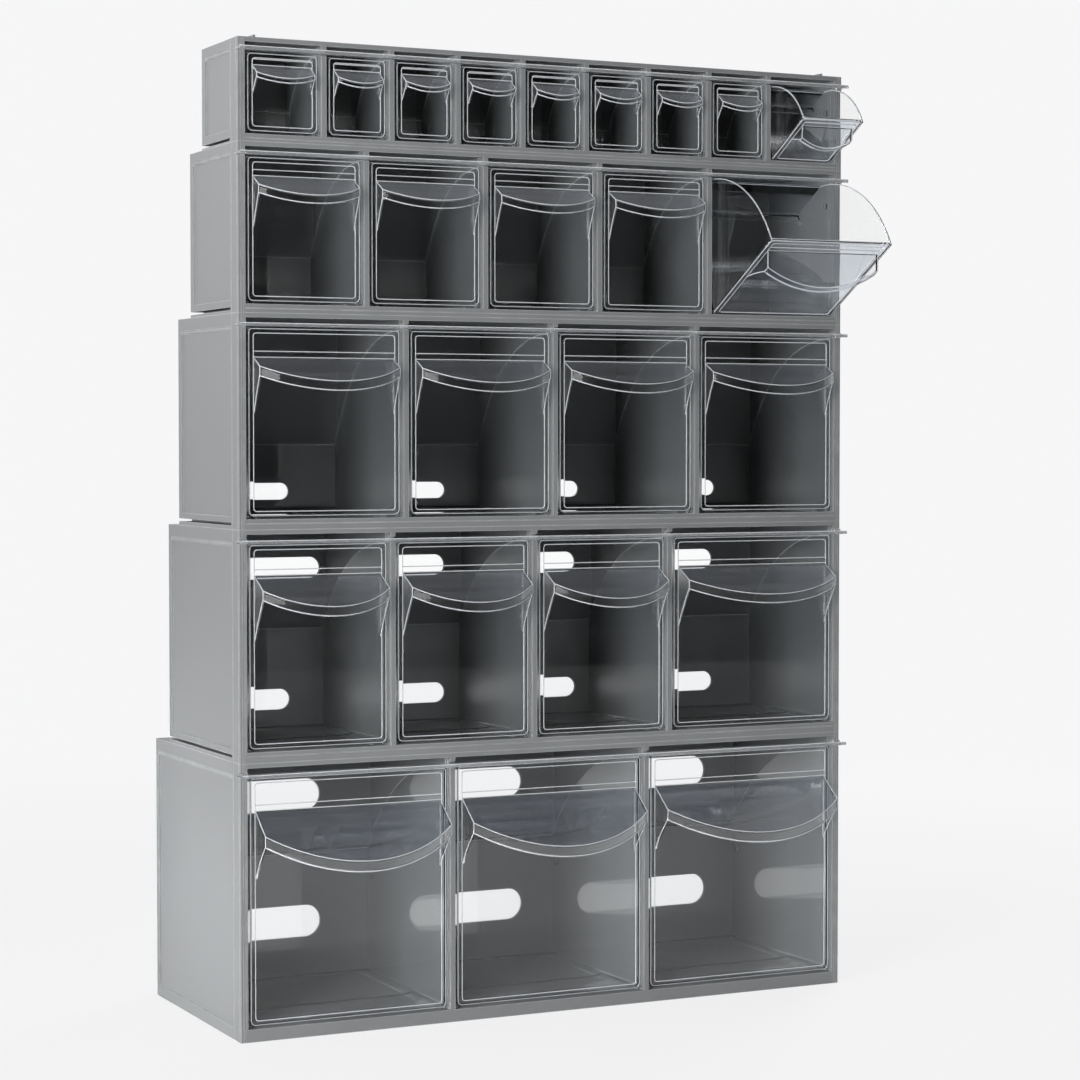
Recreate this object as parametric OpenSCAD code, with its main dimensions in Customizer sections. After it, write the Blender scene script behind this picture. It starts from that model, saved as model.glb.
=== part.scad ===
// Parts bin cabinet: five stacked rows of clear tip-out bins in grey moulded housings.
// Rows are numbered from the top, bins from the left. Front is -Y, up is +Z, millimetres.
// The origin is the middle of the footprint of the bottom row, on the surface it stands on.

/* [Housings] */
// Width of every row
cabinet_w = 600; // [540:1:700]
// Width of the upright at each end of a row
stile_w = 6.4; // [5.5:0.1:10]
// Thickness of the divider between two bays
divider_t = 4.6; // [4.2:0.1:7]
// Thickness of the top panel of a housing
top_t = 4; // [3:0.1:6]
// Thickness of the back wall of a housing
back_t = 3; // [2:0.1:5]
// Thickness of the floor behind the beam
floor_t = 3; // [2:0.1:5]
// Thickness of the beam, front to back
beam_t = 7; // [5:0.5:10]
// Width of the hollow foot along each side
foot_w = 16; // [13:0.5:22]
// Depth of the flange behind the front edge of each side
flange_d = 20; // [14:1:30]
// Depth of the rim at the back edge of each side
rear_rim_d = 8; // [5:1:14]
// How far the side panel is set in from the flange
panel_inset = 1.4; // [0.6:0.1:2.4]

/* [Row heights] */
// Height of row 1, the top row
row1_h = 88; // [82:1:120]
// Height of row 2
row2_h = 145; // [130:1:180]
// Height of row 3
row3_h = 185; // [165:1:220]
// Height of row 4
row4_h = 200; // [180:1:240]
// Height of row 5, the bottom row
row5_h = 240; // [220:1:280]

/* [Beams] */
// Height of the beam under the bays of row 1
row1_beam = 6.5; // [6:0.5:12]
// Height of the beam under the bays of row 2
row2_beam = 7.5; // [6:0.5:12]
// Height of the beam under the bays of row 3
row3_beam = 9; // [7:0.5:14]
// Height of the beam under the bays of row 4
row4_beam = 9.5; // [7:0.5:14]
// Height of the beam under the bays of row 5
row5_beam = 11; // [7:0.5:16]

/* [Row depths] */
// Depth of row 1
row1_d = 92; // [84:1:120]
// Depth of row 2
row2_d = 125; // [118:1:150]
// Depth of row 3
row3_d = 160; // [152:1:185]
// Depth of row 4
row4_d = 190; // [186:1:225]
// Depth of row 5
row5_d = 230; // [226:1:280]
// How far the back wall of row 4 is set in from the rear edge
row4_back_inset = 31; // [20:1:36]
// How far the back wall of row 5 is set in from the rear edge
row5_back_inset = 39; // [26:1:46]

/* [End bays] */
// Extra width of the left end bay of row 1
row1_left_extra = 11; // [0:1:20]
// Extra width of the right end bay of row 1
row1_right_extra = 12; // [0:1:20]
// Extra width of the right end bay of row 2
row2_right_extra = 24; // [0:1:40]
// Extra width of the left end bay of row 3
row3_left_extra = 5; // [0:1:20]
// Extra width of the right end bay of row 3
row3_right_extra = 5; // [0:1:20]
// Extra width of the right end bay of row 4
row4_right_extra = 41; // [0:1:60]
// Extra width of the right end bay of row 5
row5_right_extra = 8; // [0:1:30]

/* [Bins] */
// Gap between a bin and the divider beside it
side_gap = 3; // [2.8:0.1:3.4]
// Thickness of the side, bottom and back walls of a bin
wall_t = 1.8; // [1.4:0.1:2.4]
// Thickness of the front panel of a bin, with its border
front_t = 2.6; // [2.2:0.1:3.2]
// Width of the raised border of the front panel
border_w = 4.6; // [3:0.1:7]
// Height of the raised border
border_h = 0.8; // [0.4:0.1:1.2]
// Radius of the lower corners of a bin, seen from the front
corner_r = 5; // [3:0.5:9]
// Radius of the lower front edge of a bin, seen from the side
front_r = 3; // [2.6:0.1:3.5]
// How far the front of a bin stands back from the front of the housing
bin_front = 2; // [0.4:0.1:2.4]
// Gap under a bin, between its bottom and the beam
bin_lift = 2; // [1.6:0.1:4]
// Gap between a bin and the back wall behind it
back_gap = 4; // [2.5:0.5:8]

/* [Tilting] */
// How far a bin tips out
tilt_max = 60; // [45:1:62]
// Distance of the pivot behind the front of a bin
pivot_back = 3.3; // [3.1:0.1:3.8]
// Diameter of the pivot pins
pin_d = 3.4; // [2.8:0.1:3.8]
// Running clearance of a pin in its hole, on the radius
pin_clear = 0.08; // [0.04:0.01:0.1]
// Depth of a pin's hole in the divider
pin_hole = 1.9; // [1.4:0.1:1.95]
// Clearance of a bin under the front strip as it tips
tip_clear = 0.7; // [0.5:0.1:2]

/* [Bin handles] */
// Thickness of the handle plate, lip and cheeks
handle_t = 2; // [1.6:0.1:2.4]
// Distance from a cheek of the handle to the side of the bin
cheek_inset = 5; // [3:0.5:9]
// Handle fold line below the top of row 1
row1_fold = 24; // [22:0.5:30]
// Handle fold line below the top of row 2
row2_fold = 29.5; // [25:0.5:40]
// Handle fold line below the top of row 3
row3_fold = 38.5; // [30:0.5:50]
// Handle fold line below the top of row 4
row4_fold = 40; // [30:0.5:50]
// Handle fold line below the top of row 5
row5_fold = 42; // [32:0.5:60]
// Reach of the handle at its middle, row 1
row1_reach = 15.5; // [13:0.5:22]
// Reach of the handle at its middle, row 2
row2_reach = 27; // [21:0.5:36]
// Reach of the handle at its middle, row 3
row3_reach = 37; // [28:0.5:46]
// Reach of the handle at its middle, row 4
row4_reach = 43; // [33:0.5:54]
// Reach of the handle at its middle, row 5
row5_reach = 52; // [40:0.5:64]
// Reach of the handle at its ends, row 1
row1_end_reach = 8.5; // [7:0.5:11]
// Reach of the handle at its ends, row 2
row2_end_reach = 12.5; // [9:0.5:18]
// Reach of the handle at its ends, row 3
row3_end_reach = 13.5; // [10:0.5:22]
// Reach of the handle at its ends, row 4
row4_end_reach = 19.5; // [14:0.5:26]
// Reach of the handle at its ends, row 5
row5_end_reach = 23.5; // [16:0.5:32]
// Slope of the handle plate below the horizontal, in degrees, row 1
row1_slope = 36; // [26:1:44]
// Slope of the handle plate below the horizontal, in degrees, row 2
row2_slope = 31; // [26:1:44]
// Slope of the handle plate below the horizontal, in degrees, row 3
row3_slope = 28; // [26:1:44]
// Slope of the handle plate below the horizontal, in degrees, row 4
row4_slope = 30; // [26:1:44]
// Slope of the handle plate below the horizontal, in degrees, row 5
row5_slope = 38; // [26:1:44]
// Height of the lip along the curved edge, row 1
row1_lip = 4.5; // [4:0.5:6]
// Height of the lip along the curved edge, row 2
row2_lip = 7.5; // [6:0.5:10]
// Height of the lip along the curved edge, row 3
row3_lip = 8.5; // [6:0.5:11]
// Height of the lip along the curved edge, row 4
row4_lip = 8.5; // [6:0.5:12]
// Height of the lip along the curved edge, row 5
row5_lip = 9.6; // [7:0.2:13]
// Foot of the cheeks below the fold line, row 1
row1_cheek = 22; // [20:1:26]
// Foot of the cheeks below the fold line, row 2
row2_cheek = 43; // [36:1:56]
// Foot of the cheeks below the fold line, row 3
row3_cheek = 47; // [38:1:64]
// Foot of the cheeks below the fold line, row 4
row4_cheek = 55; // [44:1:76]
// Foot of the cheeks below the fold line, row 5
row5_cheek = 58; // [48:1:90]

/* [Front strips] */
// How far the clear strip stands proud of the housing
strip_proud = 11; // [6:0.5:14]
// Height of the nose of the strip
strip_h = 4.4; // [3.6:0.1:6]
// Thickness of the blade behind the nose
strip_blade_t = 3; // [2:0.1:4]
// Depth of the notch that holds the strip
strip_seat = 4.2; // [3:0.1:6]
// How far each end of the strip stands past the side of the cabinet
strip_overhang = 1.5; // [0:0.5:4]
// Gap between the top panel and the strip
strip_gap = 3.5; // [2.5:0.5:6]

/* [Back wall slots] */
// Height of the slots in row 3
row3_slot_h = 16; // [10:1:22]
// Height of the slots in row 4
row4_slot_h = 20; // [12:1:26]
// Height of the slots in row 5
row5_slot_h = 30; // [16:1:36]
// Height of the middle of the slots above the bottom of row 3
row3_slot_z = 30.5; // [26:0.5:50]
// Height of the middle of the lower slots above the bottom of row 4
row4_slot_z = 41; // [30:0.5:60]
// Height of the middle of the lower slots above the bottom of row 5
row5_slot_z = 66; // [40:0.5:90]
// Distance of the middle of the upper slots below the top of row 4
row4_upper_slot = 41; // [30:0.5:60]
// Distance of the middle of the upper slots below the top of row 5
row5_upper_slot = 55; // [36:0.5:80]

/* [Hidden] */
$fn = 64;
EPS = 0.01;

// One entry for each row, from the top
ROWS = 5;
BAYS = [9, 5, 4, 4, 3];
ROW_H = [row1_h, row2_h, row3_h, row4_h, row5_h];
ROW_D = [row1_d, row2_d, row3_d, row4_d, row5_d];
BACK_INSET = [0, 0, 0, row4_back_inset, row5_back_inset];
LEFT_EXTRA = [row1_left_extra, 0, row3_left_extra, 0, 0];
RIGHT_EXTRA = [row1_right_extra, row2_right_extra, row3_right_extra, row4_right_extra, row5_right_extra];
FOLD = [row1_fold, row2_fold, row3_fold, row4_fold, row5_fold];
REACH = [row1_reach, row2_reach, row3_reach, row4_reach, row5_reach];
END_REACH = [row1_end_reach, row2_end_reach, row3_end_reach, row4_end_reach, row5_end_reach];
SLOPE = [row1_slope, row2_slope, row3_slope, row4_slope, row5_slope];
LIP = [row1_lip, row2_lip, row3_lip, row4_lip, row5_lip];
CHEEK = [row1_cheek, row2_cheek, row3_cheek, row4_cheek, row5_cheek];
BEAM_H = [row1_beam, row2_beam, row3_beam, row4_beam, row5_beam];
// Bins that are left tipped out at rest
TIPPED = [[0, 8], [1, 4]];

front_y = -row5_d / 2;
// Largest step of the side band: rows 1 and 2 have the small one
BAND_H = [8, 8, 11, 11, 11];
// Beads under the band, foot, and groove above the foot
bead_step = 0.6;
bead_h = 1.2;
bead_pitch = 2;
foot_z = 9;
groove_h = 2.5;
groove_drop = 5;
groove_top = 6;
foot_wall = 4;
// Fine moulded lines
line_d = 0.6;
line_w = 0.6;
STILE_LINES = [2, 4.2];
flange_line_inset = 3;
flange_line_w = 0.8;
beam_line_drop = 3.5;
// Rails on top that fit inside the feet of the row above
rail_t = 2.5;
rail_clear = 0.3;
rail_back = 60;
rail_rise = 3;
// Ribs under the floor, as parts of the width
FLOOR_RIBS = [-0.25, 0, 0.25];
floor_rib_t = 3;
// Pivot pins and the ears that carry them
pivot_rise = 1.2;
ear_floor_gap = 0.3;
ear_r = bin_lift + pivot_rise - ear_floor_gap;
ear_step = 0.4;
ear_t = wall_t + ear_step;
ear_over = 4;
ear_rise = corner_r + ear_over;
pin_end_gap = 0.2;
pivot_y = bin_front + pivot_back;
// Upright ribs in the bay, and the lugs of the bin that meet them at full tilt
guide_front = 7;
guide_t = 2.5;
guide_w = 1.7;
guide_rise = 8;
lug_r = 2.5;
lug_len = 1.9;
lug_inset = 20;
lug_edge = 6;
lug_clear = 0.15;
// Low rails that a closed bin rests on
rest_t = 3;
rest_clear = 0.2;
rest_gap = 6;
// Rear bottom corner of a bin, and its margin inside the tipping circle
rear_more = 3;
rear_r = corner_r + rear_more;
rear_margin = 4;
// Front panel: corners of the sunk field, and the band above the fold line
field_r = 2.5;
fold_band_low = 0.5;
fold_band_high = 6;
fold_band_root = 0.2;
// Raised pad in the floor of the bins of the lower rows, and its distance from the front
PAD_ROW = 3;
pad_h = 0.8;
pad_from = 62;
pad_r = 22;
pad_root = 0.2;
pad_rear = 4;
// Handle, from the front of its panel: where it grows out, and the curve of a cheek's lower edge
handle_bond = 0.4;
handle_root = border_h + handle_bond;
cheek_turn = 0.5;
cheek_bend_y = 0.3;
cheek_bend_z = 0.55;
// Front strip: clearance in its notch, and how far its end clips stand out
strip_fit = 0.1;
clip_proud = 2;

// Slots of each back wall: inner end, outer end, height of the middle, height of the slot.
// A pair is mirrored about the middle of the cabinet, a slot in the middle starts below zero.
row4_upper_z = row4_h - row4_upper_slot;
row5_upper_z = row5_h - row5_upper_slot;
SLOTS = [
    [],
    [],
    [[39, 102, row3_slot_z, row3_slot_h], [196, 253, row3_slot_z, row3_slot_h]],
    [[40, 98, row4_slot_z, row4_slot_h], [196, 250, row4_slot_z, row4_slot_h],
        [40, 98, row4_upper_z, row4_slot_h], [166, 250, row4_upper_z, row4_slot_h]],
    [[-56, 56, row5_slot_z, row5_slot_h], [154, 260, row5_slot_z, row5_slot_h],
        [-56, 56, row5_upper_z, row5_slot_h], [154, 260, row5_upper_z, row5_slot_h]]];
slot_k = cabinet_w / 600;

// Height of the bottom of row r above the base: all the rows under it
function row_z(r) = r == ROWS - 1 ? 0 : row_z(r + 1) + ROW_H[r + 1];
// Width that every bay of row r has before the extra of its end bays
function bay_base(r) = (cabinet_w - 2 * stile_w - (BAYS[r] - 1) * divider_t
    - LEFT_EXTRA[r] - RIGHT_EXTRA[r]) / BAYS[r];
function bay_w(r, b) = bay_base(r) + (b == 0 ? LEFT_EXTRA[r] : 0)
    + (b == BAYS[r] - 1 ? RIGHT_EXTRA[r] : 0);
function bay_x(r, b) = b == 0 ? -cabinet_w / 2 + stile_w
    : bay_x(r, b - 1) + bay_w(r, b - 1) + divider_t;
// Bottom of the groove above the foot of row r
function groove_z(r) = min(BEAM_H[r] - groove_drop, groove_top - groove_h);
// Bottom of a bin of row r, and the height of its pivot
function bin_z(r) = BEAM_H[r] + bin_lift;
function pivot_z(r) = bin_z(r) + pivot_rise;
// Inner face of the back wall of row r
function back_y(r) = ROW_D[r] - BACK_INSET[r] - back_t;
// Underside of the front strip of row r
function strip_z(r) = ROW_H[r] - top_t - strip_gap - strip_h;
// Radius of the curved top edge of a bin about its pivot
function tip_r(r) = strip_z(r) - tip_clear - pivot_z(r);
// Rear face of a bin: clear of the back wall, and inside the tipping circle
function bin_rear(r) = min(back_y(r) - back_gap, pivot_y + tip_r(r) - rear_margin);
function is_tipped(r, b) = len([for (t = TIPPED) if (t == [r, b]) 1]) > 0;
// Points of a curve that leaves a towards c and arrives at b
function bend(a, c, b, steps = 8) = [for (i = [0:steps]) let (t = i / steps)
    (1 - t) * (1 - t) * a + 2 * t * (1 - t) * c + t * t * b];

// Extrudes a (y, z) profile from x0 to x1
module along_x(x0, x1) {
    translate([x0, 0, 0]) rotate([90, 0, 90]) linear_extrude(x1 - x0) children();
}

// Extrudes an (x, z) profile from y0 to y1
module along_y(y0, y1) {
    translate([0, y1, 0]) rotate([90, 0, 0]) linear_extrude(y1 - y0) children();
}

module span(x0, x1, y0, y1, z0, z1) {
    translate([x0, y0, z0]) cube([x1 - x0, y1 - y0, z1 - z0]);
}

// Rectangle with its two lower corners rounded
module u_shape(x0, x1, z0, z1, r) {
    translate([x0, z0 + r]) square([x1 - x0, z1 - z0 - r]);
    translate([x0 + r, z0]) square([x1 - x0 - 2 * r, r + EPS]);
    for (x = [x0 + r, x1 - r]) translate([x, z0 + r]) circle(r);
}

module slot_cut(x0, x1, z, h, y0, y1) {
    along_y(y0, y1) {
        translate([x0 + h / 2, z - h / 2]) square([x1 - x0 - h, h]);
        for (x = [x0 + h / 2, x1 - h / 2]) translate([x, z]) circle(d = h);
    }
}

module back_slots(r) {
    for (s = SLOTS[r], side = s[0] < 0 ? [0] : [0, 1]) mirror([side, 0, 0])
        slot_cut(s[0] * slot_k, s[1] * slot_k, s[2], s[3], back_y(r) - 1, back_y(r) + back_t + 1);
}

// ---------------------------------------------------------------- housings

// Sunk panel, bead lines and flange lines of the right-hand side
module side_relief(r) {
    d = ROW_D[r];
    h = ROW_H[r];
    x = cabinet_w / 2;
    bead_z = h - BAND_H[r];
    panel_z = bead_z - bead_h - bead_pitch;
    span(x - bead_step, x + 1, flange_d, d - rear_rim_d, bead_z - bead_h, bead_z);
    span(x - panel_inset, x + 1, flange_d, d - rear_rim_d, foot_z + bead_pitch, panel_z);
    span(x - bead_step, x + 1, flange_d, d - rear_rim_d, panel_z - EPS, panel_z + bead_h);
    for (y = [flange_line_inset, flange_d - flange_line_inset])
        span(x - line_d, x + 1, y, y + flange_line_w, -1, h + 1);
    if (r < ROWS - 1)
        span(x - foot_w + foot_wall, x + 1, flange_d, d + 1, groove_z(r), groove_z(r) + groove_h);
}

// Fine lines down the uprights and along the beam
module front_lines(r) {
    half = cabinet_w / 2;
    for (side = [0, 1], x = STILE_LINES) mirror([side, 0, 0])
        span(half - x - line_w, half - x, -1, line_d, -1, ROW_H[r] + 1);
    if (r < ROWS - 1)
        span(-half + stile_w, half - stile_w, -1, line_d,
            BEAM_H[r] - beam_line_drop - line_w, BEAM_H[r] - beam_line_drop);
}

// Low rails that fit just inside the hollow feet of the row above
module stacking_rails(r) {
    x = cabinet_w / 2 - foot_w - rail_clear;
    for (side = [0, 1]) mirror([side, 0, 0])
        span(x - rail_t, x, beam_t + rail_clear, rail_back, ROW_H[r] - EPS, ROW_H[r] + rail_rise);
}

module pivot_holes(r, b) {
    for (x = [bay_x(r, b) - pin_hole, bay_x(r, b) + bay_w(r, b) - EPS])
        translate([x, pivot_y, pivot_z(r)]) rotate([0, 90, 0])
            cylinder(d = pin_d + 2 * pin_clear, h = pin_hole + EPS);
}

// Upright ribs that stop a tipped bin, and the two low rails that a closed bin rests on
module bay_ribs(r, b) {
    x0 = bay_x(r, b);
    x1 = x0 + bay_w(r, b);
    top = ROW_H[r] - top_t + EPS;
    low = BEAM_H[r] - EPS;
    for (x = [x0 - EPS, x1 - guide_w])
        span(x, x + guide_w + EPS, guide_front, guide_front + guide_t, pivot_z(r) + guide_rise, top);
    for (x = [x0 + side_gap + rear_r, x1 - side_gap - rear_r - rest_t])
        span(x, x + rest_t, beam_t + rest_gap, back_y(r) + EPS, low, bin_z(r) - rest_clear);
}

module housing(r) {
    h = ROW_H[r];
    d = ROW_D[r];
    half = cabinet_w / 2;
    beam_h = BEAM_H[r];
    color("#8b8d8e") translate([0, front_y, row_z(r)]) {
        difference() {
            union() {
                span(-half, half, 0, d, 0, h);
                stacking_rails(r);
            }
            for (b = [0:BAYS[r] - 1]) {
                span(bay_x(r, b), bay_x(r, b) + bay_w(r, b), -1, back_y(r), beam_h, h - top_t);
                pivot_holes(r, b);
            }
            if (BACK_INSET[r] > 0)
                span(-half + stile_w, half - stile_w, d - BACK_INSET[r], d + 1, beam_h, h - top_t);
            span(-half + foot_w, half - foot_w, beam_t, d - rear_rim_d, -1, beam_h - floor_t);
            span(-half - 1, half + 1, -1, strip_seat, strip_z(r) - strip_fit, strip_z(r) + strip_h);
            for (side = [0, 1]) mirror([side, 0, 0]) side_relief(r);
            front_lines(r);
            back_slots(r);
        }
        for (b = [0:BAYS[r] - 1]) bay_ribs(r, b);
        for (k = FLOOR_RIBS) translate([k * cabinet_w, 0, 0])
            span(-floor_rib_t / 2, floor_rib_t / 2, beam_t - EPS, d - rear_rim_d + EPS,
                0, beam_h - floor_t + EPS);
    }
}

// ------------------------------------------------------------ front strips

module strip_profile(r) {
    top = strip_z(r) + strip_h - strip_fit;
    nose = strip_h / 2;
    translate([-strip_proud + nose, top - nose]) circle(nose);
    translate([-strip_proud + nose, top - strip_blade_t])
        square([strip_proud - nose + strip_seat - strip_fit, strip_blade_t]);
}

module strip(r) {
    half = cabinet_w / 2;
    color("#dfe3e4", 0.6) translate([0, front_y, row_z(r)]) {
        along_x(-half - strip_overhang, half + strip_overhang) strip_profile(r);
        for (side = [0, 1]) mirror([side, 0, 0])
            span(half - stile_w, half, -clip_proud, strip_seat - strip_fit,
                strip_z(r), strip_z(r) + strip_h - strip_fit);
    }
}

// -------------------------------------------------------------------- bins

// Side view of a bin: flat front and bottom, curved top edge about the pivot
module bin_side(r) {
    rear = bin_rear(r);
    low = bin_z(r);
    top = pivot_z(r) + tip_r(r);
    intersection() {
        translate([pivot_y, pivot_z(r)]) circle(tip_r(r), $fn = 128);
        union() {
            translate([bin_front, low + front_r]) square([rear - bin_front, top - low - front_r]);
            translate([bin_front + front_r, low]) square([rear - rear_r - bin_front - front_r, front_r + EPS]);
            translate([bin_front + front_r, low + front_r]) circle(front_r);
        }
        union() {
            translate([bin_front, low]) square([rear - rear_r - bin_front, top - low]);
            translate([rear - rear_r - EPS, low + rear_r]) square([rear_r + EPS, top - low - rear_r]);
            translate([rear - rear_r, low + rear_r]) circle(rear_r);
        }
    }
}

// Side view of the inside, open above
module bin_side_inner(r) {
    inner_r = rear_r - wall_t;
    y0 = bin_front + front_t;
    y1 = bin_rear(r) - rear_r;
    low = bin_z(r) + wall_t;
    high = ROW_H[r];
    translate([y0, low]) square([y1 - y0, high - low]);
    translate([y1 - EPS, low + inner_r]) square([inner_r + EPS, high - low - inner_r]);
    translate([y1, low + inner_r]) circle(inner_r);
}

module bin_shell(r, w) {
    rear = bin_rear(r);
    high = ROW_H[r];
    low = bin_z(r);
    fold_z = high - FOLD[r];
    top = pivot_z(r) + tip_r(r);
    difference() {
        intersection() {
            along_x(0, w) bin_side(r);
            along_y(0, rear + 1) u_shape(0, w, low, high, corner_r);
        }
        intersection() {
            along_x(-1, w + 1) bin_side_inner(r);
            along_y(0, rear + 1) u_shape(wall_t, w - wall_t, low + wall_t, high + 1, corner_r - wall_t);
        }
        along_y(-1, bin_front + border_h)
            u_shape(border_w, w - border_w, low + border_w, top - border_w, field_r);
    }
    // Band along the fold line of the handle
    span(border_w - EPS, w - border_w + EPS, bin_front, bin_front + border_h + fold_band_root,
        fold_z + fold_band_low, fold_z + fold_band_high);
    if (r >= PAD_ROW) floor_pad(r, w);
}

// Raised pad in the floor of a bin, rounded at its front corners
module floor_pad(r, w) {
    side = wall_t + pad_root;
    y0 = pad_from;
    y1 = bin_rear(r) - rear_r + pad_rear;
    translate([0, 0, bin_z(r) + wall_t - EPS]) linear_extrude(pad_h + EPS) {
        translate([side, y0 + pad_r]) square([w - 2 * side, y1 - y0 - pad_r]);
        translate([side + pad_r, y0]) square([w - 2 * (side + pad_r), pad_r + EPS]);
        for (x = [side + pad_r, w - side - pad_r]) translate([x, y0 + pad_r]) circle(pad_r);
    }
}

// Ears, pivot pins and stop lugs, the same on both sides. At full tilt a lug lies just behind
// its rib, below the curved top edge of the bin and in front of the bin's rear face.
module bin_pivots(r, w) {
    pivot = pivot_z(r);
    behind = guide_front + guide_t + lug_clear + lug_r - pivot_y;
    above = min(sqrt(pow(tip_r(r) - lug_inset, 2) - behind * behind),
        (bin_rear(r) - lug_edge - pivot_y - behind * cos(tilt_max)) / sin(tilt_max));
    lug_y = pivot_y + above * sin(tilt_max) + behind * cos(tilt_max);
    lug_z = pivot + above * cos(tilt_max) - behind * sin(tilt_max);
    for (side = [0, 1]) translate([side * w, 0, 0]) mirror([side, 0, 0]) {
        along_x(0, ear_t) {
            translate([pivot_y, pivot]) circle(ear_r);
            translate([pivot_y - ear_r, pivot]) square([2 * ear_r, ear_rise]);
        }
        along_x(-side_gap - pin_hole + pin_end_gap, EPS)
            translate([pivot_y, pivot]) circle(d = pin_d);
        along_x(-lug_len, EPS) translate([lug_y, lug_z]) circle(lug_r);
    }
}

// Height of the upper face of the handle at a distance y from the panel
function handle_z(r, y) = ROW_H[r] - FOLD[r] + y * tan(SLOPE[r]);

// Side view of the sloping plate
module plate_profile(r) {
    low = handle_t / cos(SLOPE[r]);
    out = -REACH[r] - 1;
    polygon([[handle_root, handle_z(r, handle_root)], [out, handle_z(r, out)],
        [out, handle_z(r, out) - low], [handle_root, handle_z(r, handle_root) - low]]);
}

// Side view of the lip, and of a cheek that curves from it back to the panel
module rim_profile(r) {
    out = -REACH[r] - 1;
    turn = cheek_turn - END_REACH[r];
    turn_z = handle_z(r, turn) - LIP[r];
    foot = handle_z(r, 0) - CHEEK[r];
    polygon(concat([[handle_root, handle_z(r, handle_root)], [out, handle_z(r, out)],
        [out, handle_z(r, out) - LIP[r]]],
        bend([turn, turn_z], [turn * cheek_bend_y, turn_z - (turn_z - foot) * cheek_bend_z],
            [handle_root, foot])));
}

// Column over the plan of the handle: a bow in front, straight at both ends
module handle_plan(r, w, inset) {
    half = w / 2 - cheek_inset;
    sag = REACH[r] - END_REACH[r];
    bow = (half * half + sag * sag) / (2 * sag);
    intersection() {
        translate([w / 2, bow - REACH[r], 0]) cylinder(r = bow - inset, h = ROW_H[r], $fn = 128);
        span(w / 2 - half + inset, w / 2 + half - inset, -REACH[r] - 1, handle_root + inset, 0, ROW_H[r]);
    }
}

// Crescent handle: sloping plate, lip along its curved edge, and a cheek at each end
module bin_handle(r, w) {
    intersection() {
        handle_plan(r, w, 0);
        along_x(0, w) plate_profile(r);
    }
    intersection() {
        difference() {
            handle_plan(r, w, 0);
            handle_plan(r, w, handle_t);
        }
        along_x(0, w) rim_profile(r);
    }
}

module bin(r, b) {
    w = bay_w(r, b) - 2 * side_gap;
    color("#e6ecef", 0.45)
        translate([bay_x(r, b) + side_gap, front_y, row_z(r)])
            translate([0, pivot_y, pivot_z(r)])
                rotate([is_tipped(r, b) ? tilt_max : 0, 0, 0])
                    translate([0, -pivot_y, -pivot_z(r)]) {
                        bin_shell(r, w);
                        bin_pivots(r, w);
                        translate([0, bin_front, 0]) bin_handle(r, w);
                    }
}

for (r = [0:ROWS - 1]) {
    housing(r);
    strip(r);
    for (b = [0:BAYS[r] - 1])
        bin(r, b);
}
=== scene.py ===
"""Parts bin cabinet: stacked grey moulded housings with clear tip-out bins. Metres, front -Y, up +Z."""
from collections import namedtuple
from math import asin, cos, pi, radians, sin, tan

import bmesh
import bpy
from mathutils import Matrix, Vector


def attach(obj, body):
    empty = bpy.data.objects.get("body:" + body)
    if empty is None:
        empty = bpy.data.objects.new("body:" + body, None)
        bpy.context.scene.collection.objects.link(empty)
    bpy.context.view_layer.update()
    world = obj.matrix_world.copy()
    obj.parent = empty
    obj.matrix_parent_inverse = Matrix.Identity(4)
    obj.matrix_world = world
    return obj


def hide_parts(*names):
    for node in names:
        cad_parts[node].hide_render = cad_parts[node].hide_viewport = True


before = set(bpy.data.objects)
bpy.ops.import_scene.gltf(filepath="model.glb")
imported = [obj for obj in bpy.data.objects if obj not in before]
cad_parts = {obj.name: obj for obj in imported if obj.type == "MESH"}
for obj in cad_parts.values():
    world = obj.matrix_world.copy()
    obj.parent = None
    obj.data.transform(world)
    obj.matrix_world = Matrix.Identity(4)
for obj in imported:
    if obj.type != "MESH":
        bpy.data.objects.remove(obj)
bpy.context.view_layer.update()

# ------------------------------------------------------------------ camera
# A studio camera on the left in front of the cabinet, a little above its middle, with a
# long lens, so that the uprights stay parallel and the left side is seen at a slant.
CAMERA_AT = (-1.08584, -2.30847, 0.51714)
CAMERA_YAW = radians(26.011)
CAMERA_DOWN = radians(2.1136)
SENSOR_W, FOCAL_LENGTH = 36, 90.83
ahead = Vector((sin(CAMERA_YAW) * cos(CAMERA_DOWN), cos(CAMERA_YAW) * cos(CAMERA_DOWN), -sin(CAMERA_DOWN)))
across = Vector((cos(CAMERA_YAW), -sin(CAMERA_YAW), 0))
lens = bpy.data.cameras.new("Camera")
lens.sensor_width = SENSOR_W
lens.lens = FOCAL_LENGTH
camera = bpy.data.objects.new("Camera", lens)
turned = Matrix((across, across.cross(ahead), -ahead)).transposed().to_4x4()
camera.matrix_world = Matrix.Translation(CAMERA_AT) @ turned
bpy.context.collection.objects.link(camera)
bpy.context.scene.camera = camera
bpy.context.scene.view_settings.view_transform = "Standard"

# ------------------------------------------------------- floor and backdrop
# A white table top that runs out into a white studio. It shades the object's foot with a
# soft shadow. The clear bins mirror only its near part: further off they mirror a dark room.
FLOOR_R, FLOOR_SIDES, FLOOR_DROP = 8.0, 96, 0.0003
FLOOR_WHITE = (0.86, 0.86, 0.865, 1)
STUDIO_WHITE = (0.925, 0.925, 0.935, 1)
DARK_ROOM = (0.02, 0.02, 0.02, 1)


def add_nodes(tree, **made):
    """Adds nodes by name: name=("ShaderNodeType", {setting: value}, {socket: value})."""
    out = {}
    for name, (kind, settings, sockets) in made.items():
        n = out[name] = tree.nodes.new(kind)
        n.name = name
        for key, value in settings.items():
            setattr(n, key, value)
        for key, value in sockets.items():
            n.inputs[key].default_value = value
    return out


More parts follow.
